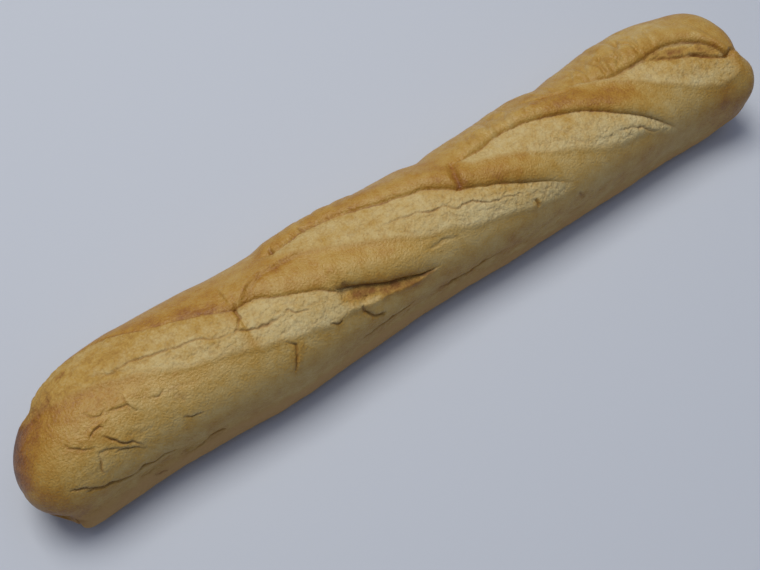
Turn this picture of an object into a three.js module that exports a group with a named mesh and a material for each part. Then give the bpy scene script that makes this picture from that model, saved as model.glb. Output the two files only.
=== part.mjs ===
// Baguette: a long white loaf, baked as one piece and scored on top with five overlapping slanting cuts.
//
// Millimetres, +Z up. The loaf lies along X and rests on its flat sole at Z = 0, and the origin is the
// middle of the sole. An angle around the loaf is measured in degrees at the middle of its section, from
// straight up, and is positive towards +Y.
import * as THREE from 'three';
import { mergeVertices } from 'three/addons/utils/BufferGeometryUtils.js';

// Overall form.
const LENGTH = 500;
const HEIGHT = 65;
// Half the loaf's width, at even steps from the -X end to the +X end. The end caps are cut from these.
const HALF_WIDTHS = [39.1, 38.5, 40.7, 40.6, 40.5, 38.8, 38.9, 40, 40.7, 42.8, 38.8];
// How far the middle of the loaf wanders towards +Y at the same steps.
const DRIFTS = [-9.1, 1.9, 2.1, -1.1, 0.7, 0.3, -1.5, -1.1, -0.7, 0.7, -9];
// The widest level of the section, as a share of its height.
const WIDEST_LEVEL = 0.42;
// The level that the tips of both ends close on.
const TIP_LEVEL = 29;

// End caps: the length that each takes up, and how square it is. 2 is a round cap, and more is blunter.
const LEFT_CAP = { length: 57, squareness: 2.25 };
const RIGHT_CAP = { length: 28, squareness: 4 };
// How the underside of each end rises from the sole to the tip, in the same terms.
const LEFT_LIFT = { length: 36, squareness: 2 };
const RIGHT_LIFT = { length: 51, squareness: 2 };

// Section: superellipse powers above and below the widest level.
const CROWN_POWER = 2.2;
const WALL_POWER = 9;
// How far the rim of the sole curls up off the table.
const RIM_LIFT = 6.5;
// The sole is pressed flat where the form would come lower than this.
const SOLE_PRESS = 0.6;

// Cuts. Each one is a leaf that slants over the top. It runs from start to end along X, between a raised
// lip on its +Y side and a foot on its -Y side. Both edges are angles at five even steps along the cut.
const CUTS = [
  { start: -238, end: -109, lip: [66, 62, 46, 21, 3], foot: [35, 11, -4, -23, -33] },
  { start: -112, end: 5, lip: [4, -8, -28, -47, -59], foot: [-33, -44, -50, -57, -61] },
  { start: -84, end: 104, lip: [38, 35, 12, -23, -60], foot: [31, -3, -33, -51, -66] },
  { start: 42, end: 186, lip: [16, 20, 6, -28, -74], foot: [11, -10, -36, -52, -79] },
  { start: 131, end: 238, lip: [24, 11, 6, 6, -36], foot: [23, 2, -28, -48, -48] },
];
// Depth under the lip, and how fast the floor of a cut climbs from there to its foot.
const CUT_DEPTH = 3.4;
const FLOOR_POWER = 1.4;
// The wall between floor and lip spans this angle.
const LIP_WALL = 9;
// The crust swells behind each lip, by this height and over this angle.
const LIP_SWELL = 1.3;
const LIP_SPREAD = 16;

// Facets: around the loaf and from tip to tip. The crowding sets more of them on top and near the tips.
const FACETS_AROUND = 56;
const FACETS_ALONG = 68;
const TOP_CROWDING = 0.4;
const TIP_CROWDING = 0.7;

const CRUST = new THREE.MeshStandardMaterial({ color: '#c39a5d', roughness: 0.62, metalness: 0 });

// Turns a list of values at even steps into a smooth function of the share travelled, from 0 to 1.
function smoothList(values) {
  const points = values.map((value, step) => new THREE.Vector2(step, value));
  const curve = new THREE.SplineCurve(points);
  return (share) => curve.getPoint(THREE.MathUtils.clamp(share, 0, 1)).y;
}

const halfWidthAt = smoothList(HALF_WIDTHS);
const driftAt = smoothList(DRIFTS);
const cutCurves = CUTS.map((cut) => ({
  start: cut.start,
  end: cut.end,
  lipAt: smoothList(cut.lip),
  footAt: smoothList(cut.foot),
}));

// Fullness of a cap at a distance from its tip, from 0 at the tip to 1 where the cap meets the body.
function capFullness(distance, { length, squareness }) {
  const share = THREE.MathUtils.clamp(distance / length, 0, 1);
  return (1 - (1 - share) ** squareness) ** (1 / squareness);
}

// How full the section is at x, for the crown and the sides.
function crownFullness(x) {
  return capFullness(x + LENGTH / 2, LEFT_CAP) * capFullness(LENGTH / 2 - x, RIGHT_CAP);
}

// How far the section reaches down to the sole at x, from 0 at the tips to 1 along the body.
function soleFullness(x) {
  return capFullness(x + LENGTH / 2, LEFT_LIFT) * capFullness(LENGTH / 2 - x, RIGHT_LIFT);
}

// Height of the crust above the plain form, from the cuts and the lips behind them.
function scoring(x, angle) {
  let height = 0;
  for (const cut of cutCurves) {
    const share = (x - cut.start) / (cut.end - cut.start);
    if (share <= 0 || share >= 1) continue;
    const lip = cut.lipAt(share);
    const foot = cut.footAt(share);
    const fade = Math.sqrt(Math.sin(Math.PI * share));
    const across = THREE.MathUtils.clamp((angle - foot) / (lip - foot), 0, 1);
    const wall = THREE.MathUtils.smoothstep(angle, lip - LIP_WALL, lip);
    height -= CUT_DEPTH * fade * across ** FLOOR_POWER * (1 - wall);
    const behind = Math.max(0, angle - lip) / LIP_SPREAD;
    height += LIP_SWELL * fade * wall * Math.exp(-behind * behind);
  }
  return height;
}

// The point of the loaf's surface at x and at an angle around its section.
function surfacePoint(x, angle) {
  const share = x / LENGTH + 0.5;
  const fullness = crownFullness(x);
  const top = TIP_LEVEL + (HEIGHT - TIP_LEVEL) * fullness;
  const bottom = TIP_LEVEL * (1 - soleFullness(x));
  const middle = bottom + (top - bottom) * WIDEST_LEVEL;
  const halfWidth = halfWidthAt(share) * fullness;
  const drift = driftAt(share);
  if (halfWidth < 1e-3) return new THREE.Vector3(x, drift, TIP_LEVEL);

  const sine = Math.sin(THREE.MathUtils.degToRad(angle));
  const cosine = Math.cos(THREE.MathUtils.degToRad(angle));
  const isWall = cosine < 0;
  const power = isWall ? WALL_POWER : CROWN_POWER;
  const reach = isWall ? middle - bottom : top - middle;
  const plain = (Math.abs(sine / halfWidth) ** power + Math.abs(cosine / reach) ** power) ** (-1 / power);
  const radius = plain + scoring(x, angle) * fullness ** 2;
  const across = (radius * sine) / halfWidth;
  const down = (radius * cosine) / reach;
  const lift = isWall ? RIM_LIFT * fullness * across ** 4 * down ** 4 : 0;
  return new THREE.Vector3(x, drift + across * halfWidth, middle + down * reach + lift);
}

// Turns every facet over.
function flipFacets(geometry) {
  const index = geometry.getIndex();
  for (let corner = 0; corner < index.count; corner += 3) {
    const second = index.getX(corner + 1);
    index.setX(corner + 1, index.getX(corner + 2));
    index.setX(corner + 2, second);
  }
}

// The loaf starts as a ball of facets with its poles along X. Each vertex then moves to its place on the
// surface, and the underside is pressed flat. The ball is mirrored first, so that the diagonals of its
// facets slant the same way as the cuts.
function loafGeometry() {
  const ball = new THREE.SphereGeometry(1, FACETS_AROUND, FACETS_ALONG);
  ball.rotateZ(Math.PI / 2);
  ball.scale(1, -1, 1);
  ball.deleteAttribute('normal');
  ball.deleteAttribute('uv');
  const loaf = mergeVertices(ball, 1e-5);
  flipFacets(loaf);
  const position = loaf.getAttribute('position');
  const vertex = new THREE.Vector3();
  for (let i = 0; i < position.count; i += 1) {
    vertex.fromBufferAttribute(position, i);
    const latitude = Math.asin(THREE.MathUtils.clamp(vertex.x, -1, 1)) / (Math.PI / 2);
    const x = (LENGTH / 2) * THREE.MathUtils.lerp(latitude, vertex.x, TIP_CROWDING);
    const turn = Math.atan2(vertex.y, vertex.z);
    const angle = THREE.MathUtils.radToDeg(turn - TOP_CROWDING * Math.sin(turn));
    const point = surfacePoint(x, angle);
    position.setXYZ(i, point.x, point.y, Math.max(point.z, SOLE_PRESS));
  }
  loaf.computeBoundingBox();
  const centre = loaf.boundingBox.getCenter(new THREE.Vector3());
  loaf.translate(-centre.x, -centre.y, -loaf.boundingBox.min.z);
  loaf.computeVertexNormals();
  return loaf;
}

const loaf = new THREE.Mesh(loafGeometry(), CRUST);
loaf.name = 'loaf';

const baguette = new THREE.Group();
baguette.add(loaf);
export default baguette;
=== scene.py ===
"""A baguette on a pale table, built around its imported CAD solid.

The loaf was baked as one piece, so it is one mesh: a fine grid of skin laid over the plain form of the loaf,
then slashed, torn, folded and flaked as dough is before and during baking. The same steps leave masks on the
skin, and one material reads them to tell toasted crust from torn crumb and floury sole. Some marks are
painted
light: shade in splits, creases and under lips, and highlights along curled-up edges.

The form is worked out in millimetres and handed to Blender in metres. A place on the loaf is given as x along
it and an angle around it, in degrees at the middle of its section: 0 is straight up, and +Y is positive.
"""
import itertools
import logging
import math
from abc import ABC, abstractmethod
from dataclasses import dataclass, field
from enum import Enum

import bpy
import numpy as np
from mathutils import Matrix, Vector


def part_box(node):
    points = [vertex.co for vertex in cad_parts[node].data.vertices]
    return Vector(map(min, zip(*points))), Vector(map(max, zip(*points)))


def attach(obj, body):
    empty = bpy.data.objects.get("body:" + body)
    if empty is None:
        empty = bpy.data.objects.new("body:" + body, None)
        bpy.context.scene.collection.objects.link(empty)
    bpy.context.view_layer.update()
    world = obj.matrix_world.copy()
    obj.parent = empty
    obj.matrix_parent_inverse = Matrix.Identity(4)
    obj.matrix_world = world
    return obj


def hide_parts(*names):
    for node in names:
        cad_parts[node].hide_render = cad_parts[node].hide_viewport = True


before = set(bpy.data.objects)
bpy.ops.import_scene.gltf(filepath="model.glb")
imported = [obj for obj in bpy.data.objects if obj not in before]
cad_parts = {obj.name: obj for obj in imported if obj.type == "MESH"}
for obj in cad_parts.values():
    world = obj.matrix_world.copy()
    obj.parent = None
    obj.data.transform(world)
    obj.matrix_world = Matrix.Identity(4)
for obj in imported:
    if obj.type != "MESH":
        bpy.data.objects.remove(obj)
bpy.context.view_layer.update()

LOG = logging.getLogger("baguette")
MM = 0.001
CAD_NODE = "loaf"
BODY = "root"
# Millimetres of skin that one degree around the loaf covers.
SKIN_PER_DEGREE = 0.66

Line = tuple[tuple[float, float], ...]


class Mask(Enum):
    """What the skin of the loaf tells its material, point by point."""

    CRUMB = "crumb"
    TOAST = "toast"
    FLOUR = "flour"
    # Painted shade: the dark laid into splits, creases, cracks and the gap under a lip.
    CREVICE = "crevice"


def linear(hex_colour: str) -> tuple[float, float, float, float]:
    """Turn an sRGB hex colour into linear light.

    Args:
        hex_colour: Six hex digits after a hash.

    Returns:
        Red, green, blue and an alpha of 1, as Blender's sockets take them.
    """
    parts = [int(hex_colour[start : start + 2], 16) / 255 for start in (1, 3, 5)]
    # The sRGB curve, with its straight foot.
    red, green, blue = [
        part / 12.92 if part <= 0.04045 else ((part + 0.055) / 1.055) ** 2.4 for part in parts
    ]
    return (red, green, blue, 1.0)


def ease(low: float, high: float, value: np.ndarray) -> np.ndarray:
    """Climb smoothly from 0 at low to 1 at high."""
    share = np.clip((value - low) / (high - low), 0, 1)
    return share * share * (3 - 2 * share)


def hill(distance: np.ndarray, breadth: float) -> np.ndarray:
    """Give a bell curve: 1 at no distance, and about a third one breadth away."""
    return np.exp(-((distance / breadth) ** 2))


def along(values: tuple[float, ...], share: np.ndarray) -> np.ndarray:
    """Read a smooth curve through values that stand at even steps.

    Args:
        values: The values, first to last.
        share: Where to read, from 0 at the first value to 1 at the last.

    Returns:
        The curve's values, one for each share.
    """
    points = np.asarray(values, float)
    last = len(points) - 1
    place = np.clip(share, 0, 1) * last
    step = np.minimum(np.floor(place).astype(int), last - 1)
    part = place - step
    before, here, after, beyond = (
        points[np.clip(step + offset, 0, last)] for offset in (-1, 0, 1, 2)
    )
    leave, arrive = (after - before) / 2, (beyond - here) / 2
    cubic = 2 * here - 2 * after + leave + arrive
    square = -3 * here + 3 * after - 2 * leave - arrive
    return ((cubic * part + square) * part + leave) * part + here


class Noise:
    """Smooth random bumps in space, the same on every run.

    A shift in millimetres reads another part of the same bumps, so one noise gives several patterns.
    """

    CELLS = 32
    # Keeps the layers of one pattern from lining up.
    LAYER_SHIFT = 17.3

    def __init__(self, seed: int) -> None:
        """Fill a repeating block of space with random values.

        Args:
            seed: Picks the block.
        """
        self.block = np.random.default_rng(seed).uniform(-1, 1, (self.CELLS,) * 3)

    def at(
        self, spots: np.ndarray, size: float | tuple[float, float, float], shift: float = 0.0
    ) -> np.ndarray:
        """Read the bumps at one size.

        Args:
            spots: Points in millimetres, with x, y and z in the last direction of the array.
            size: Breadth of a bump in millimetres, or one breadth for each of x, y and z.
            shift: Picks the pattern.

        Returns:
            One value from -1 to 1 for each point.
        """
        scaled = (spots + shift) / np.asarray(size, float)
        cell = np.floor(scaled).astype(int)
        part = scaled - cell
        part = part * part * (3 - 2 * part)
        total = np.zeros(spots.shape[:-1])
        for corner in itertools.product((0, 1), repeat=3):
            place = (cell + corner) % self.CELLS
            weight = np.prod(np.where(corner, part, 1 - part), axis=-1)
            total += weight * self.block[place[..., 0], place[..., 1], place[..., 2]]
        return total

    def layered(self, spots: np.ndarray, size: float, layers: int = 3, shift: float = 0.0) -> np.ndarray:
        """Add up bumps that halve in breadth and height with each layer.

        Args:
            spots: Points in millimetres, as for one size.
            size: Breadth of the largest bumps.
            layers: How many sizes of bump there are.
            shift: Picks the pattern.

        Returns:
            One value from -1 to 1 for each point.
        """
        total = np.zeros(spots.shape[:-1])
        for layer in range(layers):
            spread = spots + shift + self.LAYER_SHIFT * layer
            total += self.at(spread, size / 2**layer) / 2**layer
        return total / (2 - 2 ** (1 - layers))


@dataclass(frozen=True)
class Cap:
    """How an end of the loaf closes.

    Attributes:
        length: Millimetres over which it closes.
        squareness: 2 for a round end, and more for a blunt one.
    """

    length: float
    squareness: float

    def fullness(self, distance: np.ndarray) -> np.ndarray:
        """Grow from 0 at the tip to 1 where the end meets the body."""
        share = np.clip(distance / self.length, 0, 1)
        return (1 - (1 - share) ** self.squareness) ** (1 / self.squareness)


@dataclass(frozen=True)
class Form:
    """The plain form of the loaf, before anything is cut into it. Millimetres, and +X is the right end.

    Attributes:
        length: The loaf's length.
        height: Its height before the sole is pressed flat.
        half_widths: Half its width, at even steps from the left end to the right.
        drifts: How far its middle strays towards +Y, at the same steps.
        widest_level: Share of its height at which it is widest.
        tip_level: Height of both tips.
        left_cap: How the left end closes, seen from above.
        right_cap: How the right end closes.
        left_lift: How the underside of the left end rises from the sole.
        right_lift: How the underside of the right end rises.
        crown_power: 2 for a round crown, and more for a squarer one.
        wall_power: The same for the walls below the widest level.
        sole_press: How far the sole is pressed flat.
        rim_lift: How far the rim of the sole curls up off the table.
    """

    length: float = 500
    height: float = 65
    half_widths: tuple[float, ...] = (39.1, 38.5, 40.7, 40.6, 40.5, 38.8, 38.9, 40, 40.7, 42.8, 38.8)
    drifts: tuple[float, ...] = (-9.1, 1.9, 2.1, -1.1, 0.7, 0.3, -1.5, -1.1, -0.7, 0.7, -9)
    widest_level: float = 0.42
    tip_level: float = 29
    left_cap: Cap = Cap(57, 2.25)
    right_cap: Cap = Cap(28, 4)
    left_lift: Cap = Cap(36, 2)
    right_lift: Cap = Cap(51, 2)
    crown_power: float = 2.2
    wall_power: float = 9
    sole_press: float = 0.6
    rim_lift: float = 6.5

    # Keeps the sizes at the very tips above 0.
    LEAST = 1e-4
    # Keeps the curl of the sole's rim close to the rim.
    RIM_POWER = 4

    def points(self, x: np.ndarray, angle: np.ndarray) -> np.ndarray:
        """Find where the skin lies.

        Args:
            x: Places along the loaf.
            angle: Angles around it, in an array of the same shape.

        Returns:
            Points, with x, y and z in a last direction added to the array.
        """
        share = x / self.length + 0.5
        left, right = x + self.length / 2, self.length / 2 - x
        full = self.left_cap.fullness(left) * self.right_cap.fullness(right)
        seated = self.left_lift.fullness(left) * self.right_lift.fullness(right)
        top = self.tip_level + (self.height - self.tip_level) * full
        bottom = self.tip_level * (1 - seated)
        middle = bottom + (top - bottom) * self.widest_level
        half_width = np.maximum(along(self.half_widths, share) * full, self.LEAST)
        sine, cosine = np.sin(np.radians(angle)), np.cos(np.radians(angle))
        wall = cosine < 0
        power = np.where(wall, self.wall_power, self.crown_power)
        reach = np.maximum(np.where(wall, middle - bottom, top - middle), self.LEAST)
        radius = ((np.abs(sine) / half_width) ** power + (np.abs(cosine) / reach) ** power) ** (-1 / power)
        across, down = radius * sine / half_width, radius * cosine / reach
        lift = np.where(wall, self.rim_lift * full * across**self.RIM_POWER * down**self.RIM_POWER, 0)
        y = along(self.drifts, share) + across * half_width
        return np.stack([x, y, middle + down * reach + lift], axis=-1)


@dataclass
class Skin:
    """The loaf's skin as a grid of points: rows from tip to tip, and columns around.

    Attributes:
        x: Place of each point along the loaf, in millimetres.
        angle: Angle of each point around it, in degrees.
        spot: The same place in a space where noise runs on without a seam, in millimetres.
        height: How far the work on the dough has raised or sunk the point.
        slide: How far it has been pulled along the skin, towards +angle.
        masks: What the material is to know about it.
    """

    x: np.ndarray
    angle: np.ndarray
    spot: np.ndarray
    height: np.ndarray
    slide: np.ndarray
    masks: dict[Mask, np.ndarray]

    @classmethod
    def grid(cls, stations: np.ndarray, angles: np.ndarray) -> "Skin":
        """Lay out a smooth skin.

        Args:
            stations: Places of its rows along the loaf.
            angles: Angles of its columns around it.

        Returns:
            The skin, with nothing done to it yet.
        """
        x, angle = np.meshgrid(stations, angles, indexing="ij")
        turn, radius = np.radians(angle), SKIN_PER_DEGREE * 180 / math.pi
        spot = np.stack([x, radius * np.sin(turn), radius * np.cos(turn)], axis=-1)
        masks = {mask: np.zeros(x.shape) for mask in Mask}
        return cls(x, angle, spot, np.zeros(x.shape), np.zeros(x.shape), masks)

    def window(self, line: Line, margin: float) -> "Skin":
        """Look at the part of the skin around a line. Work done on the window is done on the skin.

        Args:
            line: Places, each as x and angle.
            margin: Millimetres to leave around them.

        Returns:
            The part of the skin that holds them.
        """
        lowest, highest = np.min(line, axis=0), np.max(line, axis=0)
        degrees = margin / SKIN_PER_DEGREE
        rows = np.searchsorted(self.x[:, 0], (lowest[0] - margin, highest[0] + margin))
        columns = np.searchsorted(self.angle[0], (lowest[1] - degrees, highest[1] + degrees))
        part = (slice(*rows), slice(*columns))
        layers = (self.x, self.angle, self.spot, self.height, self.slide)
        masks = {mask: values[part] for mask, values in self.masks.items()}
        return Skin(*(values[part] for values in layers), masks)

    def raise_mask(self, mask: Mask, value: np.ndarray) -> None:
        """Bring a mask up to value wherever it is lower."""
        np.maximum(self.masks[mask], value, out=self.masks[mask])


class Work(ABC):
    """Something done to the dough."""

    @abstractmethod
    def shape(self, skin: Skin, noise: Noise) -> None:
        """Do it to the skin.

        Args:
            skin: The skin to work on.
            noise: Keeps it from looking machined.
        """


@dataclass(frozen=True)
class Cut(Work):
    """A baker's slash that opened in the oven: a lip on its +Y side, and a floor that climbs to its foot.

    Attributes:
        lip: Places along the edge of the lip.
        foot: Places where the floor comes back up to the crust.
        depth: How deep the floor lies under the lip.
        sag: How far the floor hangs below a straight climb from there to the foot. Below 0, it bulges.
        wall: Degrees that the wall under the lip spans.
        swell: How far the crust stands up behind the lip.
        roll: Degrees behind the lip at which the crust stands highest.
        droop: How far the edge of the lip hangs down from there, below the plain skin.
        overhang: How far the lip leans out over the floor, in millimetres.
        tapers: Shares of the length over which the two ends run out.
        fibre: How rough the floor is, in millimetres.
    """

    lip: Line
    foot: Line
    depth: float = 3.4
    sag: float = 2.6
    wall: float = 2.4
    swell: float = 2.0
    roll: float = 11
    droop: float = 1.2
    overhang: float = 1.8
    tapers: tuple[float, float] = (0.2, 0.3)
    fibre: float = 0.52

    # Millimetres around its lip and foot that it works on.
    MARGIN = 30
    # Degrees that the lip and the foot stray, over so many millimetres, and the least between the two.
    RAGGED_LIP, LIP_WAVE = 1.5, 7
    RAGGED_FOOT, FOOT_WAVE = 3.0, 11
    NARROWEST = 0.4
    # A part of the fall lies right under the lip's edge: its share of the depth, and the degrees it takes.
    EDGE_SHARE, EDGE = 0.4, 1.6
    # Above 1, the floor climbs faster near the lip.
    CLIMB = 1.2
    # Degrees over which the swell sinks back, the lean fades, and the ridge along the foot rises and falls.
    SPREAD, LEAN_SPREAD, FOOT_SPREAD = 13, 6, 4
    # Height of that ridge.
    FOOT_RIDGE = 0.5
    # Where crumb takes over from crust: shares of the length, then degrees below the lip and above the foot.
    CRUMB_TAPERS = (0.06, 0.1)
    CRUMB_BELOW_LIP, CRUMB_ABOVE_FOOT = (0.2, 1.4), (-6, 6)
    # Strands, tufts, and small pieces between creases: their shares of the roughness and breadths.
    STRAND, STRAND_SIZE = 0.5, (1.5, 4, 4)
    TUFT, TUFT_SIZE = 0.8, 2.8
    PIECE, PIECE_SIZE = 0.9, 3.6
    # How broad those creases are, and how much painted shade darkens them.
    CREASE, CREASE_DARKNESS = 0.14, 0.24
    # The line of painted shade under the lip: where it starts and fades, in degrees, and how it breaks up.
    GAP, GAP_SPREAD, GAP_WAVE = 0.5, 0.9, 13
    GAP_MEAN, GAP_SWING, GAP_LEAST = 0.5, 0.9, 0.1

    def shape(self, skin: Skin, noise: Noise) -> None:
        """Open the cut, mark the crumb that it lays bare, and paint shade into its creases and under its lip.

        Args:
            skin: The skin to work on.
            noise: Keeps it from looking machined.
        """
        view = skin.window(self.lip + self.foot, self.MARGIN)
        lip = np.interp(view.x, *zip(*self.lip))
        lip += self.RAGGED_LIP * noise.layered(view.spot, self.LIP_WAVE)
        foot = np.interp(view.x, *zip(*self.foot))
        foot += self.RAGGED_FOOT * noise.layered(view.spot, self.FOOT_WAVE, shift=90)
        foot = np.minimum(foot, lip - self.NARROWEST)
        self.open_up(view, lip, foot)
        self.tear_crumb(view, noise, lip, foot)
        self.shade_gap(view, noise, lip)

    def taper(self, view: Skin, lengths: tuple[float, float]) -> np.ndarray:
        """Fade from 1 along the cut to 0 at its two ends.

        Args:
            view: The skin around the cut.
            lengths: Shares of the cut's length over which it fades, at its start and at its end.

        Returns:
            One value for each point of the skin.
        """
        start, end = self.lip[0][0], self.lip[-1][0]
        share = (view.x - start) / (end - start)
        return ease(0, lengths[0], share) * ease(0, lengths[1], 1 - share)

    def open_up(self, view: Skin, lip: np.ndarray, foot: np.ndarray) -> None:
        """Sink the floor, raise the crust behind the lip, and lean the lip out.

        Args:
            view: The skin around the cut.
            lip: Angle of the lip, for each point of the skin.
            foot: Angle of the foot.
        """
        fade = self.taper(view, self.tapers)
        below, behind = lip - view.angle, np.maximum(view.angle - lip, 0)
        across = np.clip(below / (lip - foot), 0, 1)

        steep, gentle = ease(0, self.EDGE, below), ease(0, self.wall, below)
        fall = self.EDGE_SHARE * steep + (1 - self.EDGE_SHARE) * gentle
        drop = self.droop + (self.depth - self.droop) * fall
        floor = -drop * (1 - across) ** self.CLIMB - self.sag * 4 * across * (1 - across)
        round_edge = np.sqrt(1 - (1 - np.minimum(behind / self.roll, 1)) ** 2)
        crust = (self.swell + self.droop) * round_edge - self.droop
        crust *= hill(np.maximum(behind - self.roll, 0), self.SPREAD)
        view.height += fade * np.where(below > 0, floor, crust)
        view.height += self.FOOT_RIDGE * fade * hill(view.angle - foot, self.FOOT_SPREAD)
        lean = np.where(below > 0, ease(self.wall, 0, below), hill(behind, self.LEAN_SPREAD))
        view.slide -= self.overhang * fade * lean

    def tear_crumb(self, view: Skin, noise: Noise, lip: np.ndarray, foot: np.ndarray) -> None:
        """Roughen the floor into strands, tufts and small pieces, mark it as crumb, and paint shade in its
        creases.

        Args:
            view: The skin around the cut.
            noise: Shapes the strands, tufts and pieces.
            lip: Angle of the lip, for each point of the skin.
            foot: Angle of the foot.
        """
        bare = self.taper(view, self.CRUMB_TAPERS)
        bare *= ease(*self.CRUMB_BELOW_LIP, lip - view.angle)
        bare *= ease(*self.CRUMB_ABOVE_FOOT, view.angle - foot)
        strands = self.STRAND * noise.at(view.spot, self.STRAND_SIZE, shift=40)
        tufts = self.TUFT * noise.layered(view.spot, self.TUFT_SIZE)
        pieces = np.minimum(np.abs(noise.layered(view.spot, self.PIECE_SIZE, shift=70)) / self.CREASE, 1)
        view.height += self.fibre * bare * (strands + tufts + self.PIECE * pieces)
        view.raise_mask(Mask.CRUMB, bare)
        # Painted shade in the creases between the pieces.
        view.raise_mask(Mask.CREVICE, self.CREASE_DARKNESS * bare * (1 - pieces))

    def shade_gap(self, view: Skin, noise: Noise, lip: np.ndarray) -> None:
        """Paint shade into the gap under the lip, where the light doesn't reach.

        Args:
            view: The skin around the cut.
            noise: Breaks the line of painted shade up.
            lip: Angle of the lip, for each point of the skin.
        """
        below = lip - view.angle
        hidden = self.overhang / SKIN_PER_DEGREE + self.GAP
        dark = hill(np.maximum(below - hidden, 0), self.GAP_SPREAD) * (below > 0)
        broken = self.GAP_MEAN + self.GAP_SWING * noise.layered(view.spot, self.GAP_WAVE, shift=20)
        fade = self.taper(view, self.tapers) ** 0.5
        view.raise_mask(Mask.CREVICE, np.clip(broken, self.GAP_LEAST, 1) * dark * fade)


@dataclass(frozen=True)
class Tear(Work):
    """A split in the skin along a ragged line, or a seam of skin that stands up where depth is below 0.

    Attributes:
        line: Places that the split passes through.
        depth: How deep it is.
        breadth: How wide it gapes.
        curl: How far the skin to the left of its line stands up.
        dark: How much painted shade darkens it inside, from 0 to 1.
        waver: How far it strays from its line.
        scorch: How much browner the skin around it is baked.
    """

    line: Line
    depth: float = 1.2
    breadth: float = 0.5
    curl: float = 0.4
    dark: float = 0.85
    waver: float = 1.8
    scorch: float = 0.0

    # Millimetres around its line that it works on.
    MARGIN = 14
    # Breadth of the bumps that the line strays over, and how many sizes of them there are.
    WAVER_SIZE, WAVER_LAYERS = 5, 4
    # How far it opens on average, as a share, and how that varies over so many millimetres.
    GAPE_MEAN, GAPE_SWING, GAPE_WAVE = 0.75, 0.35, 5
    # Breadths of the skin that curls up and of the skin that is scorched.
    CURL_SPREAD, SCORCH_SPREAD = 8.0, 3.5
    # A painted highlight along the skin that curled up, where its raised edge catches the light: its breadth,
    # and how much toasting it takes off.
    PALE_SPREAD, PALENESS = 2.2, 0.22

    def shape(self, skin: Skin, noise: Noise) -> None:
        """Open the split with painted shade, curl up its left side with a painted highlight, and brown the
        skin around it.

        Args:
            skin: The skin to work on.
            noise: Keeps it from looking machined.
        """
        view = skin.window(self.line, self.MARGIN)
        x = view.x + self.waver * noise.layered(view.spot, self.WAVER_SIZE, self.WAVER_LAYERS)
        y = view.angle * SKIN_PER_DEGREE
        y += self.waver * noise.layered(view.spot, self.WAVER_SIZE, self.WAVER_LAYERS, shift=50)
        nearest, side, run = self.follow(x, y)

        taper = np.clip(4 * run * (1 - run), 0, 1) ** 0.5
        taper *= self.GAPE_MEAN + self.GAPE_SWING * noise.at(view.spot, self.GAPE_WAVE, shift=30)
        gape = hill(nearest, self.breadth) * taper
        view.height -= self.depth * gape
        # Painted shade inside the split.
        view.raise_mask(Mask.CREVICE, self.dark * gape)
        raised = self.curl * taper * ease(0, self.breadth, side)
        view.height += raised * hill(nearest, self.CURL_SPREAD)
        # Painted highlight: the curled-up edge is painted paler.
        view.masks[Mask.TOAST] -= self.PALENESS * raised * hill(nearest, self.PALE_SPREAD)
        view.masks[Mask.TOAST] += self.scorch * taper * hill(nearest, self.SCORCH_SPREAD)

    def follow(self, x: np.ndarray, y: np.ndarray) -> tuple[np.ndarray, np.ndarray, np.ndarray]:
        """Find how points of the unrolled skin lie to the split's line.

        Args:
            x: Their places along the loaf, in millimetres.
            y: Their places around it, in millimetres of skin.

        Returns:
            How far each point is from the line, how far to its left, and how far along it from 0 to 1.
        """
        knots = [np.array([place, angle * SKIN_PER_DEGREE]) for place, angle in self.line]
        lengths = [np.linalg.norm(after - before) for before, after in itertools.pairwise(knots)]
        nearest = np.full(x.shape, np.inf)
        side, run = np.zeros(x.shape), np.zeros(x.shape)
        walked = 0.0
        for (before, after), length in zip(itertools.pairwise(knots), lengths):
            way = (after - before) / length
            ahead = (x - before[0]) * way[0] + (y - before[1]) * way[1]
            aside = (y - before[1]) * way[0] - (x - before[0]) * way[1]
            distance = np.hypot(aside, np.maximum(0, np.maximum(-ahead, ahead - length)))
            closer = distance < nearest
            nearest = np.where(closer, distance, nearest)
            side = np.where(closer, aside, side)
            run = np.where(closer, (walked + np.clip(ahead, 0, length)) / sum(lengths), run)
            walked += length
        return nearest, side, run


@dataclass(frozen=True)
class Patch(Work):
    """Work done around one place, fading out from its middle.

    Attributes:
        x: Its middle along the loaf.
        angle: Its middle around it.
        length: Its breadth along the loaf.
        breadth: Its breadth around it, in millimetres of skin.
        slant: How far it leans towards +Y, in millimetres for each millimetre along the loaf.
    """

    x: float
    angle: float
    length: float
    breadth: float
    slant: float = 0.0

    # How far out its work is followed, in breadths.
    REACH = 2.4

    def part(self, skin: Skin) -> tuple[Skin, np.ndarray]:
        """Find where it works on the skin.

        Args:
            skin: The whole skin.

        Returns:
            The part of the skin around its middle, and how strongly it works on each point there.
        """
        reach = self.REACH * max(self.length, self.breadth + abs(self.slant) * self.length)
        view = skin.window(((self.x, self.angle),), reach)
        ahead = view.x - self.x
        aside = (view.angle - self.angle) * SKIN_PER_DEGREE - self.slant * ahead
        return view, hill(ahead, self.length) * hill(aside, self.breadth)


@dataclass(frozen=True)
class Dent(Patch):
    """A place where the dough is pinched in, or swells out where depth is below 0.

    Attributes:
        depth: How far it goes in.
        scorch: How much browner it is baked.
    """

    depth: float = 0.0
    scorch: float = 0.0

    # How much its browning varies, and over how many millimetres.
    MOTTLE, MOTTLE_SIZE = 0.6, 9

    def shape(self, skin: Skin, noise: Noise) -> None:
        """Push the dent into the skin, and brown it.

        Args:
            skin: The skin to work on.
            noise: Keeps it from looking machined.
        """
        view, strength = self.part(skin)
        view.height -= self.depth * strength
        mottle = 1 + self.MOTTLE * noise.layered(view.spot, self.MOTTLE_SIZE)
        view.masks[Mask.TOAST] += self.scorch * strength * mottle


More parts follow.
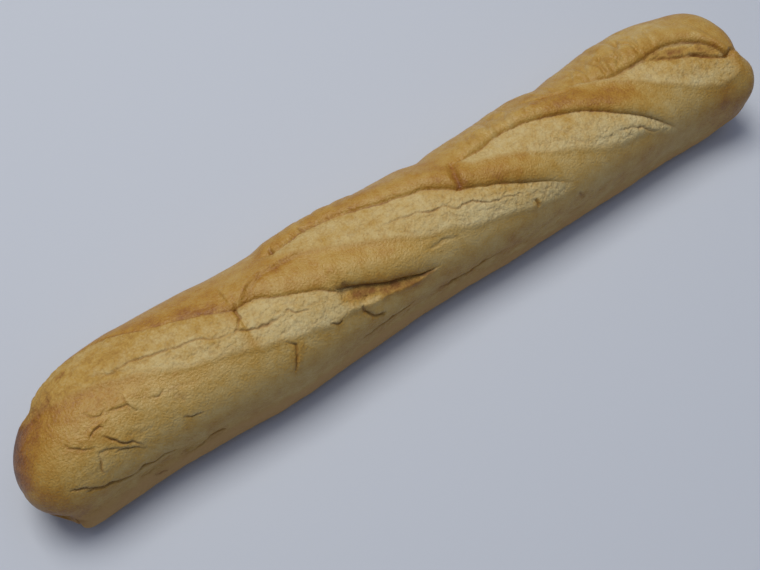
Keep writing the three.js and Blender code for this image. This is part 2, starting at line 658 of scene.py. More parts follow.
@dataclass(frozen=True)
class Flaking(Patch):
    """A patch where the thin outer skin has cracked and lifted into flakes.

    Attributes:
        size: Breadth of a flake.
        step: How far one flake stands above the next.
        dark: How much painted shade darkens the cracks between them.
    """

    size: float = 9
    step: float = 0.35
    dark: float = 0.3

    # Flakes are longer along the loaf, so the noise is read in a space that is squeezed that way.
    SQUEEZE = (0.6, 1, 1)
    LAYERS = 4
    # How sharply a flake ends, and where its crack lies and how broad it is, in edges.
    EDGE, CRACK_PLACE, CRACK = 0.07, 1.5, 0.6

    def shape(self, skin: Skin, noise: Noise) -> None:
        """Crack the skin into flakes, and paint shade into the cracks between them.

        Args:
            skin: The skin to work on.
            noise: Keeps it from looking machined.
        """
        view, strength = self.part(skin)
        level = noise.layered(view.spot * self.SQUEEZE, self.size, self.LAYERS)
        view.height += self.step * strength * np.tanh(level / self.EDGE)
        crack = hill(level + self.CRACK_PLACE * self.EDGE, self.CRACK * self.EDGE)
        # Painted shade in the cracks.
        view.raise_mask(Mask.CREVICE, self.dark * strength * crack)


@dataclass(frozen=True)
class Pleats(Patch):
    """Small folds that run around the loaf, where its skin was gathered up.

    Attributes:
        spacing: Millimetres from fold to fold.
        depth: How deep the creases between them are.
    """

    spacing: float = 7
    depth: float = 0.6

    # A fold is this many times as long as it is broad.
    STRETCH = 5
    # How broad the creases between folds are, and how much painted shade darkens them.
    CREASE, CREASE_DARKNESS = 0.22, 0.3
    # Smaller bumps that keep the folds from running straight.
    RUFFLE, RUFFLE_SIZE = 0.25, 5

    def shape(self, skin: Skin, noise: Noise) -> None:
        """Gather the skin, and paint shade into the creases.

        Args:
            skin: The skin to work on.
            noise: Keeps it from looking machined.
        """
        view, strength = self.part(skin)
        long = self.spacing * self.STRETCH
        folds = noise.at(view.spot, (self.spacing, long, long))
        folds += self.RUFFLE * noise.layered(view.spot, self.RUFFLE_SIZE)
        view.height += self.depth * strength * (folds - hill(folds, self.CREASE))
        # Painted shade in the creases.
        view.raise_mask(Mask.CREVICE, self.CREASE_DARKNESS * strength * hill(folds, self.CREASE / 2))


@dataclass(frozen=True)
class CrustFinish:
    """Baked crust: starch that set smooth in steam, so it has a dull satin shine and browns in blotches.

    Attributes:
        browning: Its colours from hardly toasted to scorched, each with the toasting at which it is reached.
        roughness: Low enough for a soft shine along the tops of the folds.
        ior: Of dry starch.
        blotch_size: Breadth of the patches that the heat browned more, in millimetres.
        mottle_size: Breadth of the smaller patches within them.
        grain_size: Flecks finer than a millimetre, drawn this coarse so that they show.
    """

    browning: tuple[tuple[float, str], ...] = (
        (0.12, "#cbb273"),
        (0.38, "#bf9c50"),
        (0.6, "#b18432"),
        (0.82, "#956127"),
        (1.0, "#6b411c"),
    )
    roughness: float = 0.42
    ior: float = 1.45
    blotch_size: float = 34
    mottle_size: float = 7
    grain_size: float = 1.3


@dataclass(frozen=True)
class CrumbFinish:
    """Torn crumb: dough that the oven pulled open, dry and full of pores, so it is pale and has no shine.

    Attributes:
        browning: Its colours from untoasted to well toasted, each with the toasting at which it is reached.
        roughness: Pores scatter the light evenly.
        pore_size: Pores are about half a millimetre across, drawn this coarse so that they show.
    """

    browning: tuple[tuple[float, str], ...] = (
        (0.1, "#d6c896"),
        (0.42, "#ccb478"),
        (0.66, "#ba9547"),
        (0.95, "#8d602a"),
    )
    roughness: float = 0.75
    pore_size: float = 1.2


@dataclass(frozen=True)
class FlourFinish:
    """Flour baked on to the sole and the foot of the walls: a chalky tan veil that dulls the crust."""

    colour: str = "#c29c66"
    roughness: float = 0.95


@dataclass(frozen=True)
class PaintedShadeFinish:
    """Painted shade: dark brown laid into splits, creases and the gap under a lip, where light doesn't reach.
    """

    colour: str = "#8a5c2e"


class BreadMaterial:
    """Baked wheat bread: one skin that goes from toasted crust to torn crumb and floury sole."""

    # How far noise moves the edge of a mask, so that no finish ends on a clean line.
    RAGGED = 0.5
    # The mask's values between which one finish gives way to the next.
    EDGE = (0.15, 0.75)
    # How much blotches, mottles and grain change the toasting.
    BLOTCH, MOTTLE, GRAIN = 0.5, 0.55, 0.4
    NOISE_DETAIL = 3.0
    # Depth of the grain and pores in millimetres, and the share of it that shows.
    BUMP_DEPTH, BUMP_STRENGTH = 1.0, 0.5

    def __init__(self, name: str) -> None:
        """Start an empty material.

        Args:
            name: The material's common name.
        """
        self.material = bpy.data.materials.new(name)
        self.material.use_nodes = True
        self.tree = self.material.node_tree
        self.tree.nodes.clear()

    def node(self, kind: str, settings: dict | None = None, links: dict | None = None) -> bpy.types.Node:
        """Add a node with its settings and links.

        Args:
            kind: Type name of the node, without the ShaderNode in front.
            settings: Values by name, where a name is a property of the node or one of its input sockets, and
                stops are a colour ramp's positions and colours.
            links: Output sockets by the name or number of the input socket that each one feeds.

        Returns:
            The new node.
        """
        made = self.tree.nodes.new("ShaderNode" + kind)
        for name, value in (settings or {}).items():
            if name == "stops":
                elements = made.color_ramp.elements
                while len(elements) < len(value):
                    elements.new(1.0)
                for element, (position, colour) in zip(elements, value):
                    element.position, element.color = position, linear(colour)
            elif isinstance(name, str) and hasattr(made, name):
                setattr(made, name, value)
            else:
                made.inputs[name].default_value = value
        for name, source in (links or {}).items():
            self.tree.links.new(source, made.inputs[name])
        return made

    def build(self) -> bpy.types.Material:
        """Wire up crust, crumb, flour, and the painted shade in crevices.

        Returns:
            The finished material.
        """
        crust, crumb, flour, crevice = CrustFinish(), CrumbFinish(), FlourFinish(), PaintedShadeFinish()
        place = self.node("NewGeometry").outputs["Position"]
        masks = {mask: self.node("Attribute", {"attribute_name": mask.value}).outputs["Fac"] for mask in Mask}
        scales = [
            {"Scale": 1 / (size * MM), "Detail": self.NOISE_DETAIL}
            for size in (crust.blotch_size, crust.mottle_size, crust.grain_size, crumb.pore_size)
        ]
        blotch, mottle, grain, pores = (
            self.node("TexNoise", scale, {"Vector": place}).outputs["Fac"] for scale in scales
        )

        # A Mix node takes numbers at inputs 2 and 3, and colours at 6 and 7. Its colour leaves at output 2.
        patches = ((blotch, self.BLOTCH), (mottle, self.MOTTLE), (grain, self.GRAIN))
        toast = self.toasting(masks[Mask.TOAST], patches)
        crust_colour = self.node("ValToRGB", {"stops": crust.browning}, {"Fac": toast}).outputs["Color"]
        crumb_colour = self.node("ValToRGB", {"stops": crumb.browning}, {"Fac": toast}).outputs["Color"]
        bare, floury = (self.frayed(masks[mask], mottle) for mask in (Mask.CRUMB, Mask.FLOUR))
        colour = self.node("Mix", {"data_type": "RGBA"}, {0: bare, 6: crust_colour, 7: crumb_colour})
        # Flour, then painted shade in splits, creases and under lips, go over the crust and crumb.
        for share, hue in ((floury, flour.colour), (masks[Mask.CREVICE], crevice.colour)):
            settings = {"data_type": "RGBA", 7: linear(hue)}
            colour = self.node("Mix", settings, {0: share, 6: colour.outputs[2]})

        roughness = self.node("Mix", {2: crust.roughness, 3: crumb.roughness}, {0: bare})
        roughness = self.node("Mix", {3: flour.roughness}, {0: floury, 2: roughness.outputs[0]})
        fine = self.node("Math", {"operation": "ADD"}, {0: grain, 1: pores}).outputs[0]
        depth = {"Strength": self.BUMP_STRENGTH, "Distance": self.BUMP_DEPTH * MM}
        bump = self.node("Bump", depth, {"Height": fine}).outputs[0]
        links = {"Base Color": colour.outputs[2], "Roughness": roughness.outputs[0], "Normal": bump}
        shader = self.node("BsdfPrincipled", {"IOR": crust.ior}, links)
        self.node("OutputMaterial", links={"Surface": shader.outputs["BSDF"]})
        return self.material

    def toasting(
        self, mask: bpy.types.NodeSocket, patches: tuple[tuple[bpy.types.NodeSocket, float], ...]
    ) -> bpy.types.NodeSocket:
        """Vary the toasting with patches of several sizes.

        Args:
            mask: How toasted the skin is.
            patches: Noise for each size of patch, and how much it changes the toasting.

        Returns:
            How toasted each point is.
        """
        # Noise runs from 0 to 1, so half of each share is taken off first to keep the toasting centred.
        middle = sum(share for _, share in patches) / 2
        toast = self.node("Math", {"operation": "SUBTRACT", 1: middle}, {0: mask}).outputs[0]
        for source, share in patches:
            links = {0: source, 2: toast}
            toast = self.node("Math", {"operation": "MULTIPLY_ADD", 1: share}, links).outputs[0]
        return toast

    def frayed(self, mask: bpy.types.NodeSocket, mottle: bpy.types.NodeSocket) -> bpy.types.NodeSocket:
        """Fray the edge of a mask.

        Args:
            mask: The mask.
            mottle: Noise that moves its edge.

        Returns:
            The mask with a ragged edge.
        """
        moved = self.node("Math", {"operation": "MULTIPLY_ADD", 1: self.RAGGED}, {0: mottle, 2: mask})
        low, high = (limit + self.RAGGED / 2 for limit in self.EDGE)
        limits = {"From Min": low, "From Max": high}
        return self.node("MapRange", limits, {"Value": moved.outputs[0]}).outputs["Result"]


# The slashes, from left to right. The second one opened twice: a shallow leaf, and a deep pocket past it.
CUTS = (
    Cut(
        ((-238, 66), (-202, 61), (-189, 55), (-177, 49), (-157, 30), (-137, 19), (-120, 9), (-109, 3)),
        ((-240, 36), (-226, 28), (-210, 13), (-189, 3), (-174, -4), (-151, -19), (-130, -27), (-109, -33)),
        depth=0.7, sag=-0.6, wall=1.4, swell=0.5, roll=8, droop=0.4, overhang=0.3, tapers=(0.08, 0.02),
    ),
    Cut(
        ((-112, 4), (-98, 4), (-88, -4), (-77, -13), (-66, -21), (-58, -30), (-50, -35), (-40, -41)),
        ((-112, -33), (-97, -39), (-78, -46), (-66, -50), (-52, -50), (-40, -55)),
        depth=1.6, sag=0.1, wall=1.6, swell=1.4, roll=13, droop=1.2, overhang=0.5, tapers=(0.03, 0.3),
    ),
    Cut(
        ((-61, -26), (-52, -28), (-30, -44), (-9, -55), (5, -59)),
        ((-66, -44), (-52, -50), (-40, -55), (-14, -59), (5, -60.5)),
        depth=4, sag=1, wall=3, swell=2.3, roll=14, droop=2, overhang=2, tapers=(0.1, 0.3),
    ),
    Cut(
        (
            (-84, 38), (-69, 36), (-51, 40), (-30, 32), (-8, 19),
            (18, 9), (34, -8), (56, -22), (78, -38), (104, -60),
        ),
        ((-90, 36), (-80, 28), (-63, 17), (-33, -6), (3, -30), (33, -42), (72, -56), (104, -66)),
        depth=2.1, sag=-0.5, swell=2.2, roll=13, droop=1.8, overhang=0.5, tapers=(0.06, 0.2),
    ),
    Cut(
        (
            (42, 16), (60, 16), (79, 20), (93, 16), (105, 10), (117, 3),
            (128, -5), (148, -27), (159, -38), (169, -52), (186, -74),
        ),
        ((42, 11), (54, 4), (66, -2), (99, -25), (128, -46), (158, -54), (186, -79)),
        depth=2.1, sag=-0.8, wall=1.6, swell=2.3, roll=10, droop=1.4, overhang=0.5, tapers=(0.1, 0.2),
    ),
    Cut(
        (
            (131, 24), (148, 17), (160, 10), (183, 6), (200, 8),
            (214, 5), (223, -3), (228, -14), (231, -26), (238, -36),
        ),
        ((131, 23), (150, 10), (165, -6), (180, -24), (204, -44), (220, -52), (238, -48)),
        depth=4.6, sag=-0.4, wall=13, swell=1.6, roll=10, droop=1.6, overhang=1.2, tapers=(0.3, 0.08),
        fibre=0.5,
    ),
)

# After its line, a tear has its depth, breadth, curl, dark, waver and scorch, as far as they are its own.

# Splits inside the cuts, where the crumb went on opening.
CRUMB_TEARS = (
    Tear(((-192, 6), (-171, 5), (-161, 2), (-145, -4), (-135, -6), (-128, -12), (-117, -16)), 1.1),
    Tear(((-193, 14), (-182, 6), (-173, 0)), 0.5, dark=0.4),
    Tear(((-108, 9), (-110, 2), (-110, -5), (-117, -16)), 1.4, 0.8),
    Tear(((-117, -14), (-110, -19), (-105, -21), (-99, -21), (-90, -22)), 1.9, 0.7, dark=0.9),
    Tear(((-91, -22), (-86, -21), (-84, -26), (-76, -31)), 1.0, 0.5, dark=0.7),
    Tear(
        ((-18, -4), (-4, -6), (3, -8), (11, -14), (20, -16), (28, -24), (36, -25), (44, -32), (66, -40)), 1.1
    ),
    Tear(((140, -38), (150, -44), (158, -52), (168, -60)), 1.0, 0.6, 0.2, 0.6),
    Tear(((188, 2), (203, -12), (213, -15), (220, -22), (228, -30), (236, -25)), 3.2, 1.4, dark=0.9),
)

# Splits along the flank, where the crust parted from the floury foot.
FLANK_TEARS = (
    Tear(((-229, -50), (-226, -51), (-223, -55), (-217, -63)), 1.4, 0.7, dark=0.8),
    Tear(((-222, -59), (-214, -66), (-206, -72), (-200, -77), (-196, -78)), 2.2, 0.8, 0.5, 0.8, 1.4),
    Tear(((-197, -78), (-192, -75), (-186, -80), (-180, -77), (-173, -82)), 2.4, 0.8, 0.6, 1.0, 1.4),
    Tear(((-171, -96), (-165, -96), (-159, -94), (-154, -90)), 1.2, 0.6, 0.5, 0.6),
    Tear(((-155, -89), (-150, -90), (-145, -92)), 1.8, 0.7, 0.4, 0.9),
    Tear(((-196, -90), (-190, -93)), 1.0, 0.5, dark=0.6),
    Tear(((-190, -100), (-182, -105)), 1.4, 0.7, dark=0.9, scorch=0.3),
    Tear(((-56, -84), (-42, -82), (-20, -80)), 1.4, 0.9),
    Tear(((-2, -86), (19, -89), (33, -84), (47, -85)), 1.4, 0.9),
    Tear(((241, -90), (239, -99), (236, -106)), 1.5, dark=0.9),
    Tear(((-236, -106), (-235, -116), (-234, -128)), 1.6, 0.9, 1.8, 0.5, 0.6),
)

# Edges of the skin that cracked and lifted near the left end.
FLAKE_TEARS = (
    Tear(((-206, -28), (-202, -25), (-199, -25), (-198, -28)), 1.2, 0.45, 0.5, 0.9, 1.4, 0.2),
    Tear(((-201, -31), (-197, -39), (-194, -46), (-190, -50), (-186, -57)), 1.5, 0.5, 0.6, 0.9, 1.4, 0.2),
    Tear(((-208, -38), (-202, -43), (-197, -47), (-192, -51)), 0.7, 0.4, 0.6, 0.5, 1.5),
    Tear(((-200, -47), (-194, -51), (-189, -56), (-185, -60)), 0.7, 0.4, 0.6, 0.5, 1.5),
    Tear(((-219, -16), (-216, -23), (-212, -30), (-207, -36)), 0.8, 0.4, 0.6, 0.6, 1.5, 0.15),
    Tear(((-207, -42), (-208, -48), (-210, -56)), 0.9, 0.5, 0.5, 0.7),
    Tear(((-203, -9), (-201, -16), (-197, -20), (-194, -18)), 0.9, 0.45, 0.5, 0.7, 1.4),
    Tear(((-193, -19), (-188, -22), (-182, -25), (-180, -30)), 0.8, 0.5, 0.6, 0.5),
    Tear(((-183, -15), (-182, -24), (-184, -29)), 0.7, 0.5, 0.5, 0.6),
    Tear(((-172, -28), (-167, -30), (-163, -28)), 0.6, 0.5, 0.5, 0.5),
    Tear(((-157, -34), (-157, -44)), 0.6, 0.5, 0.4, 0.5),
    Tear(((-163, -53), (-158, -57), (-152, -58)), 0.8, 0.5, 0.5, 0.7),
    Tear(((-226, 32), (-221, 26), (-222, 18)), 0.7, 0.5, 0.5, 0.5, scorch=0.12),
    Tear(((-214, 27), (-213, 20)), 1.0, 0.8, 0.5, 0.7, scorch=0.3),
    Tear(((-207, 33), (-199, 35)), 1.0, 0.8, 0.6, 0.6, scorch=0.2),
)

# Pleats across the thick crust over the right-hand cuts.
PLEAT_TEARS = (
    Tear(((147, 46), (141, 30), (137, 19)), 0.8, 1.4, 0.6, 0.1),
    Tear(((158, 43), (151, 27), (147, 17)), 1.1, 1.5, 0.8, 0.12),
    Tear(((168, 38), (160, 22), (157, 13)), 1.2, 1.6, 0.9, 0.15),
    Tear(((184, 40), (175, 24), (171, 16), (167, 13)), 1.8, 1.7, 1.3, 0.2),
    Tear(((193, 36), (189, 20), (184, 10)), 1.4, 1.6, 1.0, 0.15),
    Tear(((203, 34), (199, 20), (196, 11)), 0.9, 1.5, 0.8, 0.1),
    Tear(((64, 42), (57, 19)), 0.7, 1.3, 0.7, 0.15),
    Tear(((80, 44), (73, 22)), 0.6, 1.4, 0.7, 0.1),
    Tear(((92, 42), (84, 20)), 0.7, 1.4, 0.8, 0.1),
    Tear(((102, 28), (99, 19)), 0.8, 1.1, 0.6, 0.2),
    Tear(((104, 38), (114, 28), (126, 21), (135, 17)), 0.9, 1.2, 0.8, 0.15),
)

# Folds pinched across the lower bands, and pockets where a lip starts.
PINCHES = (
    Tear(((-96, -41), (-93, -47), (-95, -56), (-99, -68)), 1.6, 0.6, 0.8, 0.75, scorch=0.35),
    Tear(((-71, -47), (-67, -52), (-64, -51)), 1.4, 0.7, 0.6, 0.8, scorch=0.25),
    Tear(((-50, -52), (-49, -59), (-45, -66), (-39, -69)), 2.4, 0.9, 1.2, 0.75, scorch=0.25),
    Tear(((71, -51), (73, -60)), 1.2, 1.2, dark=0.5, scorch=0.5),
    Tear(((102, -70), (106, -80)), 1.2, 1.0, dark=0.5, scorch=0.2),
    Tear(((42, 18), (39, 10), (37, 2), (35, -10)), 3.0, 2.6, 1.8, 0.25, 1.0, 0.5),
    Tear(((-75, 41), (-73, 32)), 2.6, 1.5, dark=1.0),
    Tear(((-53, 43), (-50, 36)), 1.6, 1.0, dark=0.8),
    Tear(((-55, -24), (-50, -33)), 1.8, 1.4, dark=0.8),
    Tear(((-110, 1), (-99, 15), (-90, 20), (-76, 20), (-60, 17)), -1.5, 1.2, 0.9, 0.0, 0.6),
    Tear(((-106, -1), (-96, 11), (-88, 16), (-76, 16), (-62, 13)), 0.5, 1.1, 0.0, 0.3, 0.6, 0.2),
    Tear(((228, -30), (237, -28), (246, -27)), 2.4, 2.0, 0.0, 0.3),
    Tear(((-2, -41), (9, -41), (20, -44)), 0.8, 1.2, 0.3, 0.2),
)

TEARS = CRUMB_TEARS + FLANK_TEARS + FLAKE_TEARS + PLEAT_TEARS + PINCHES

# Hollows, swellings, patches the oven browned more or less than the crust around them, and painted shade.
LUMPS = (
    Dent(-180, -88, 48, 5, depth=1.5),
    Dent(-196, -112, 34, 6, depth=-1.4),
    Dent(-236, 42, 7, 9, scorch=0.2),
    # Painted shade: the crumb under the lip of the second cut's deep pocket, browned where that lip shades
    # it.
    Dent(-32, -49, 24, 6, slant=-0.29, scorch=0.75),
    Dent(-215, 18, 22, 16, scorch=0.06),
    Dent(-240, -70, 14, 16, scorch=0.14),
    Dent(160, 46, 30, 16, scorch=-0.16),
    Dent(-222, -20, 12, 12, scorch=-0.1),
    Dent(-90, 18, 20, 12, depth=-0.8, scorch=0.16),
    Dent(-125, 14, 26, 7, slant=-0.35, scorch=0.2),
    Dent(55, -20, 32, 12, slant=-0.6, scorch=0.18),
    Dent(135, 2, 30, 9, slant=-0.5, scorch=0.24),
    Dent(100, 52, 26, 16, depth=-1.2),
    Dent(218, -66, 10, 9, scorch=0.16),
    Dent(204, -3, 22, 5, slant=-0.25, scorch=0.4),
    Dent(203, 32, 40, 12, scorch=-0.2),
    Dent(224, -20, 7, 6, scorch=0.2),
    Dent(80, 32, 40, 10, scorch=-0.14),
    Dent(-228, 58, 5, 16, depth=2.3),
    Dent(-232, -118, 8, 8, depth=-1.4),
    Dent(-242, -108, 8, 14, depth=5),
    Dent(246, -32, 6, 12, depth=3.1),
    Dent(246, -56, 7, 12, depth=-0.7),
    Dent(240, -102, 8, 10, depth=1),
    Dent(228, -114, 12, 8, depth=2),
    Dent(-79, 52, 8, 14, depth=0.5),
    Dent(32, 60, 9, 14, depth=2.2),
    Dent(125, 62, 10, 16, depth=2.3),
    Dent(0, -86, 50, 4, depth=0.8, scorch=0.12),
    Dent(208, -26, 22, 12, slant=-0.2, scorch=0.16),
    Dent(165, 64, 14, 16, depth=-1.2),
)

# Cracked skin at the ends and along the low flank, and the gathered skin behind the lips.
ROUGH_SKIN = (
    Flaking(-194, -32, 26, 17, size=10, step=0.3),
    Flaking(-160, -30, 22, 12, size=14, step=0.16, dark=0.25),
    Flaking(-226, 20, 14, 12, size=7, step=0.35),
    Flaking(-116, 12, 16, 8, size=7, step=0.35),
    Flaking(170, 12, 16, 9, size=7, step=0.4),
    Flaking(5, -40, 18, 7, size=9, step=0.2, dark=0.3),
    Flaking(60, -86, 110, 8, size=5, step=0.22, dark=0.25),
    Flaking(-180, -92, 46, 7, size=5, step=0.22, dark=0.25),
    Pleats(168, 34, 28, 17, spacing=7, depth=2),
    Pleats(85, 36, 38, 13, spacing=8, depth=1.3),
    Pleats(-25, 50, 30, 12, spacing=9, depth=0.6),
)


@dataclass(frozen=True)
class Heat:
    """Browning over a wide stretch of the loaf, which comes up between two places along it or around it.

    Attributes:
        amount: How much browner the stretch is.
        x: The two places along the loaf, in the order in which it comes up, or None for the whole length.
        angle: The two angles around it, or None for all the way round.
    """

    amount: float
    x: tuple[float, float] | None = None
    angle: tuple[float, float] | None = None

    def browning(self, skin: Skin) -> np.ndarray:
        """Tell how much it browns each point of the skin."""
        lengthways = ease(*self.x, skin.x) if self.x else 1
        return self.amount * lengthways * (ease(*self.angle, skin.angle) if self.angle else 1)


# The ends, the top and the near flank are browner than the skin between them, the low flank partly as painted
# shade.
OVEN_HEAT = (
    Heat(0.06, angle=(-45, -20)),
    Heat(0.24, x=(-200, -244)),
    Heat(0.24, x=(200, 240), angle=(0, -40)),
    # Partly painted shade: the low near flank, turned from the lamp, is browned darker.
    Heat(0.14, angle=(-50, -80)),
    Heat(0.17, x=(-92, -125), angle=(-30, 0)),
    Heat(0.08, angle=(-5, 30)),
    Heat(0.1, x=(-110, -60), angle=(-40, -10)),
)


@dataclass
class Baguette:
    """The loaf: its form, the work done on its skin, and its material.

    Attributes:
        form: Its plain form.
        rows: Rows of points from tip to tip.
        columns: Points in each row.
        sole_share: Share of the columns that the sole keeps, because it is flat and out of sight.
        works: What is done to the skin, in order. Each one's place here picks its noise.
    """

    form: Form = field(default_factory=Form)
    rows: int = 1050
    columns: int = 390
    sole_share: float = 0.3
    works: tuple[Work, ...] = CUTS + TEARS + LUMPS + ROUGH_SKIN

    # Steps in which the loaf's outline and its ring are walked, and the angle past which the sole lies.
    OUTLINE_STEPS, RING_STEPS = 6001, 3601
    SOLE_ANGLE = 130
    # Seeds of the noise that isn't any one work's.
    FLOUR_SEED, WRINKLE_SEED = 101, 102
    # How toasted the crust is where nothing browned it more.
    TOAST = 0.28
    # Flour: how much, the angles between which it sets in, and how far and how broadly its edge strays.
    FLOUR, FLOUR_ANGLES = 0.75, (86, 104)
    FLOUR_STRAY, FLOUR_WAVE = 6, 14
    # It sets in lower down the right half, and the left tip has none.
    FLOUR_DROP, FLOUR_DROP_PLACES = 10, (-40, 60)
    BARE_TIP = (-240, -228)
    # Heights and breadths of the ripples all over the crust, in millimetres.
    RIPPLE, RIPPLE_SIZE = 0.6, 24
    # Fine wrinkles: their height everywhere, what patches of them add, and where noise starts a patch.
    WRINKLE, PATCHY_WRINKLE = 0.02, 0.05
    WRINKLE_SIZE, PATCH_SIZE, PATCH_EDGE = 3.2, 28, (-0.1, 0.5)
    # The foot of the walls: its angle and spread, and the heights and breadths of its lumps and crumbs.
    FOOT_ANGLE, FOOT_SPREAD = 112, 10
    FOOT_LUMP, FOOT_LUMP_SIZE = 0.8, 9
    FOOT_GRIT, FOOT_GRIT_SIZE = 0.3, 3
    # The most that a mask may say.
    MASK_LIMIT = 1.5

    def build(self) -> bpy.types.Object:
        """Make the mesh, dress it and give it to the frame.

        Returns:
            The loaf's object.
        """
        piece = self.mesh_object("baguette_crust", self.worked_skin())
        piece.data.materials.append(BreadMaterial("baked wheat bread").build())
        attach(piece, BODY)
        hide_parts(CAD_NODE)
        return piece

    def stations(self) -> np.ndarray:
        """Space the rows evenly along the loaf's outline, closing in on both tips.

        Returns:
            Places along the loaf.
        """
        half = self.form.length / 2
        x = half * np.sin(np.linspace(-math.pi / 2, math.pi / 2, self.OUTLINE_STEPS))
        side = self.form.points(x, np.full(x.shape, 90.0))
        walked = np.concatenate([[0], np.cumsum(np.linalg.norm(np.diff(side[:, :2], axis=0), axis=1))])
        return np.interp(np.linspace(0, walked[-1], self.rows + 2)[1:-1], walked, x)

    def angles(self) -> np.ndarray:
        """Space the columns evenly around the body, with fewer of them on the sole.

        Returns:
            Angles around the loaf.
        """
        angle = np.linspace(-180, 180, self.RING_STEPS)
        ring = self.form.points(np.zeros(angle.shape), angle)
        steps = np.linalg.norm(np.diff(ring[:, 1:], axis=0), axis=1)
        steps *= np.where(np.abs(angle[1:]) > self.SOLE_ANGLE, self.sole_share, 1)
        walked = np.concatenate([[0], np.cumsum(steps)])
        return np.interp(np.linspace(0, walked[-1], self.columns + 1)[:-1], walked, angle)

    def worked_skin(self) -> Skin:
        """Lay out the skin and do all the work on it.

        Returns:
            The skin with everything done to it.
        """
        skin = Skin.grid(self.stations(), self.angles())
        self.bake(skin)
        for seed, work in enumerate(self.works):
            work.shape(skin, Noise(seed))
        self.wrinkle(skin)
        return skin

    def bake(self, skin: Skin) -> None:
        """Set how brown and how floury each part of the skin comes out of the oven.

        Args:
            skin: The skin to bake.
        """
        skin.masks[Mask.TOAST] += self.TOAST + sum(heat.browning(skin) for heat in OVEN_HEAT)
        edge = np.abs(skin.angle)
        edge += self.FLOUR_STRAY * Noise(self.FLOUR_SEED).layered(skin.spot, self.FLOUR_WAVE)
        edge -= self.FLOUR_DROP * ease(*self.FLOUR_DROP_PLACES, skin.x)
        skin.masks[Mask.FLOUR] += self.FLOUR * ease(*self.FLOUR_ANGLES, edge) * ease(*self.BARE_TIP, skin.x)

    def wrinkle(self, skin: Skin) -> None:
        """Ripple the crust gently, and make the foot of the walls uneven.

        Args:
            skin: The skin, after all the work on it.
        """
        noise = Noise(self.WRINKLE_SEED)
        crust = 1 - skin.masks[Mask.CRUMB]
        skin.height += crust * self.RIPPLE * noise.layered(skin.spot, self.RIPPLE_SIZE)
        patchy = ease(*self.PATCH_EDGE, noise.layered(skin.spot, self.PATCH_SIZE, layers=2, shift=13))
        wrinkle = self.WRINKLE + self.PATCHY_WRINKLE * patchy
        wrinkle = wrinkle * noise.layered(skin.spot, self.WRINKLE_SIZE, layers=2, shift=61)
        skin.height += crust * wrinkle
        foot = hill(np.abs(skin.angle) - self.FOOT_ANGLE, self.FOOT_SPREAD)
        lumps = self.FOOT_LUMP * noise.layered(skin.spot, self.FOOT_LUMP_SIZE, shift=31)
        grit = self.FOOT_GRIT * noise.layered(skin.spot, self.FOOT_GRIT_SIZE, shift=47)
        skin.height += foot * (lumps + grit)

    def mesh_object(self, name: str, skin: Skin) -> bpy.types.Object:
        """Turn the skin into a closed mesh that stands where the CAD solid does.

        Args:
            name: The piece's name.
            skin: The worked skin.

        Returns:
            The object, linked into the scene.
        """
        plain = self.form.points(skin.x, skin.angle)
        around = np.roll(plain, -1, axis=1) - np.roll(plain, 1, axis=1)
        around /= np.linalg.norm(around, axis=-1, keepdims=True)
        outward = np.cross(np.gradient(plain, axis=0), around)
        outward /= np.linalg.norm(outward, axis=-1, keepdims=True)
        points = plain + outward * skin.height[..., None] + around * skin.slide[..., None]

        tips = points[[0, -1]].mean(axis=1)
        vertices = np.concatenate([points.reshape(-1, 3), tips])
        vertices[:, 2] = np.maximum(vertices[:, 2], self.form.sole_press) - self.form.sole_press
        vertices *= MM
        low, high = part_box(CAD_NODE)
        vertices[:, 1] += (low.y + high.y) / 2 - MM * (plain[..., 1].max() + plain[..., 1].min()) / 2

        mesh = bpy.data.meshes.new(name)
        mesh.from_pydata(vertices.tolist(), [], self.faces(*skin.x.shape))
        for mask, values in skin.masks.items():
            layer = mesh.attributes.new(mask.value, "FLOAT", "POINT")
            filled = np.append(values.ravel(), values[[0, -1]].mean(axis=1))
            layer.data.foreach_set("value", np.clip(filled, 0, self.MASK_LIMIT).astype(np.float32))
        mesh.shade_smooth()
        mesh.update()
        piece = bpy.data.objects.new(name, mesh)
        bpy.context.scene.collection.objects.link(piece)
        return piece

    @staticmethod
    def faces(rows: int, columns: int) -> list[tuple[int, ...]]:
        """Join the grid's points with quads, and close both tips with fans of triangles.

        Args:
            rows: Rows of points.
            columns: Points in each row.

        Returns:
            Corner numbers of each face, turning so that faces look out.
        """
        here = np.arange(rows * columns).reshape(rows, columns)
        beside = np.roll(here, -1, axis=1)
        quads = np.stack([here[:-1], here[1:], beside[1:], beside[:-1]], axis=-1).reshape(-1, 4)
        left, right = rows * columns, rows * columns + 1
        fans = [(left, int(one), int(next_one)) for one, next_one in zip(here[0], beside[0])]
        fans += [(right, int(next_one), int(one)) for one, next_one in zip(here[-1], beside[-1])]
        return quads.tolist() + fans


@dataclass(frozen=True)
class CardFinish:
    """Matt white card: pressed smooth and left uncoated, so it scatters the light and has no gloss."""

    colour: str = "#cad3df"
    roughness: float = 0.9


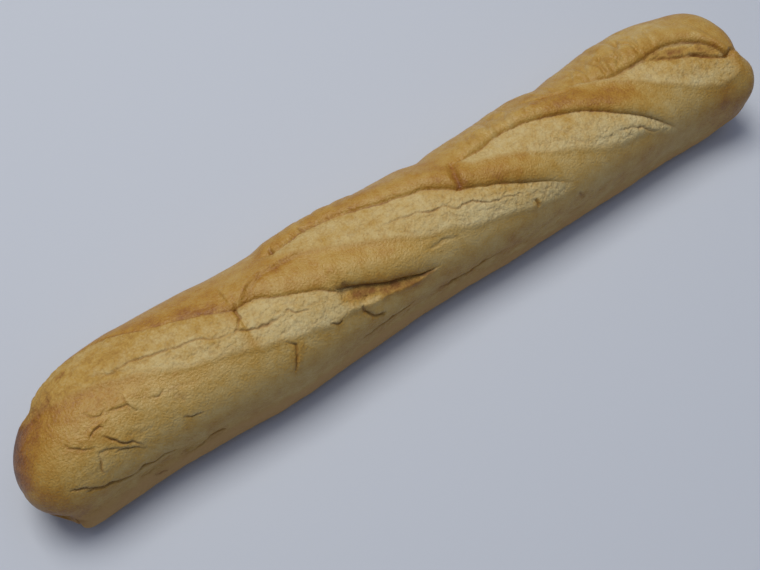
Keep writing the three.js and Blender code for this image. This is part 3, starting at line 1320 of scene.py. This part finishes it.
@dataclass(frozen=True)
class Studio:
    """The table, the light and the camera, in metres, degrees and watts.

    Attributes:
        table_size: Length of the table top's sides.
        table: What it is covered with.
        lamp_place: Where the main lamp hangs. It is a square, of lamp_size.
        room_colour: Colour of the pale ceiling and of the dim light from all around.
        heading: Where the camera looks, from +Y towards +X.
        elevation: How steeply it looks down.
        distance: How far it is from where it aims.
        aim: Where it aims, to the right of the loaf's middle and past it.
        nearest: What is closer to the camera than this isn't drawn.
    """

    table_size: float = 8.0
    table: CardFinish = CardFinish()
    lamp_place: tuple[float, float, float] = (-0.1, 0.55, 1.75)
    lamp_size: float = 0.9
    lamp_power: float = 21.0
    lamp_colour: str = "#fff8ee"
    room_colour: str = "#d9def4"
    room_strength: float = 0.12
    ceiling_height: float = 2.0
    ceiling_size: float = 3.0
    ceiling_power: float = 13.0
    heading: float = 35.4
    elevation: float = 62.0
    distance: float = 0.606
    aim: tuple[float, float] = (-0.0136, -0.0130)
    field_of_view: float = 42.0
    nearest: float = 0.01

    def build(self) -> None:
        """Set up everything around the loaf."""
        self.lay_table()
        self.hang_lamp("soft_lamp", self.lamp_place, self.lamp_size, self.lamp_power, self.lamp_colour)
        above = (0, 0, self.ceiling_height)
        self.hang_lamp("pale_ceiling", above, self.ceiling_size, self.ceiling_power, self.room_colour)
        self.fill_room()
        self.place_camera()
        bpy.context.scene.view_settings.view_transform = "Standard"

    def lay_table(self) -> None:
        """Lay a plain pale table top under the loaf."""
        half = self.table_size / 2
        mesh = bpy.data.meshes.new("table_top")
        corners = [(-half, -half, 0), (half, -half, 0), (half, half, 0), (-half, half, 0)]
        mesh.from_pydata(corners, [], [(0, 1, 2, 3)])
        material = bpy.data.materials.new("matt white card")
        material.use_nodes = True
        shader = material.node_tree.nodes["Principled BSDF"]
        shader.inputs["Base Color"].default_value = linear(self.table.colour)
        shader.inputs["Roughness"].default_value = self.table.roughness
        mesh.materials.append(material)
        table = bpy.data.objects.new("table_top", mesh)
        bpy.context.scene.collection.objects.link(table)

    def hang_lamp(
        self, name: str, place: tuple[float, float, float], size: float, power: float, hue: str
    ) -> None:
        """Hang a square lamp that faces the middle of the loaf.

        Args:
            name: The lamp's name.
            place: Where it hangs.
            size: Length of its sides.
            power: Its power in watts.
            hue: Its colour.
        """
        data = bpy.data.lights.new(name, "AREA")
        data.size = size
        data.energy = power
        data.color = linear(hue)[:3]
        lamp = bpy.data.objects.new(name, data)
        spot = Vector(place)
        lamp.matrix_world = Matrix.Translation(spot) @ spot.to_track_quat("Z", "Y").to_matrix().to_4x4()
        bpy.context.scene.collection.objects.link(lamp)

    def fill_room(self) -> None:
        """Fill the room with dim, even light."""
        world = bpy.data.worlds.new("room")
        world.use_nodes = True
        background = world.node_tree.nodes["Background"]
        background.inputs["Color"].default_value = linear(self.room_colour)
        background.inputs["Strength"].default_value = self.room_strength
        bpy.context.scene.world = world

    def place_camera(self) -> None:
        """Look down along the loaf from beside its left end."""
        heading, elevation = math.radians(self.heading), math.radians(self.elevation)
        right = Vector((math.cos(heading), -math.sin(heading), 0))
        level = Vector((math.sin(heading), math.cos(heading), 0))
        forward = level * math.cos(elevation) - Vector((0, 0, math.sin(elevation)))
        place = right * self.aim[0] + level * self.aim[1] - forward * self.distance
        data = bpy.data.cameras.new("camera")
        data.angle = math.radians(self.field_of_view)
        data.clip_start = self.nearest
        camera = bpy.data.objects.new("camera", data)
        turn = (-forward).to_track_quat("Z", "Y").to_matrix().to_4x4()
        camera.matrix_world = Matrix.Translation(place) @ turn
        bpy.context.scene.collection.objects.link(camera)
        bpy.context.scene.camera = camera


def main() -> None:
    """Build the studio and the loaf, and report each piece."""
    logging.basicConfig(level=logging.INFO, format="%(name)s: %(message)s")
    Studio().build()
    LOG.info("table, lamp and camera are in place")
    piece = Baguette().build()
    LOG.info("%s: %d points, %d faces", piece.name, len(piece.data.vertices), len(piece.data.polygons))


if __name__ == "__main__":
    main()
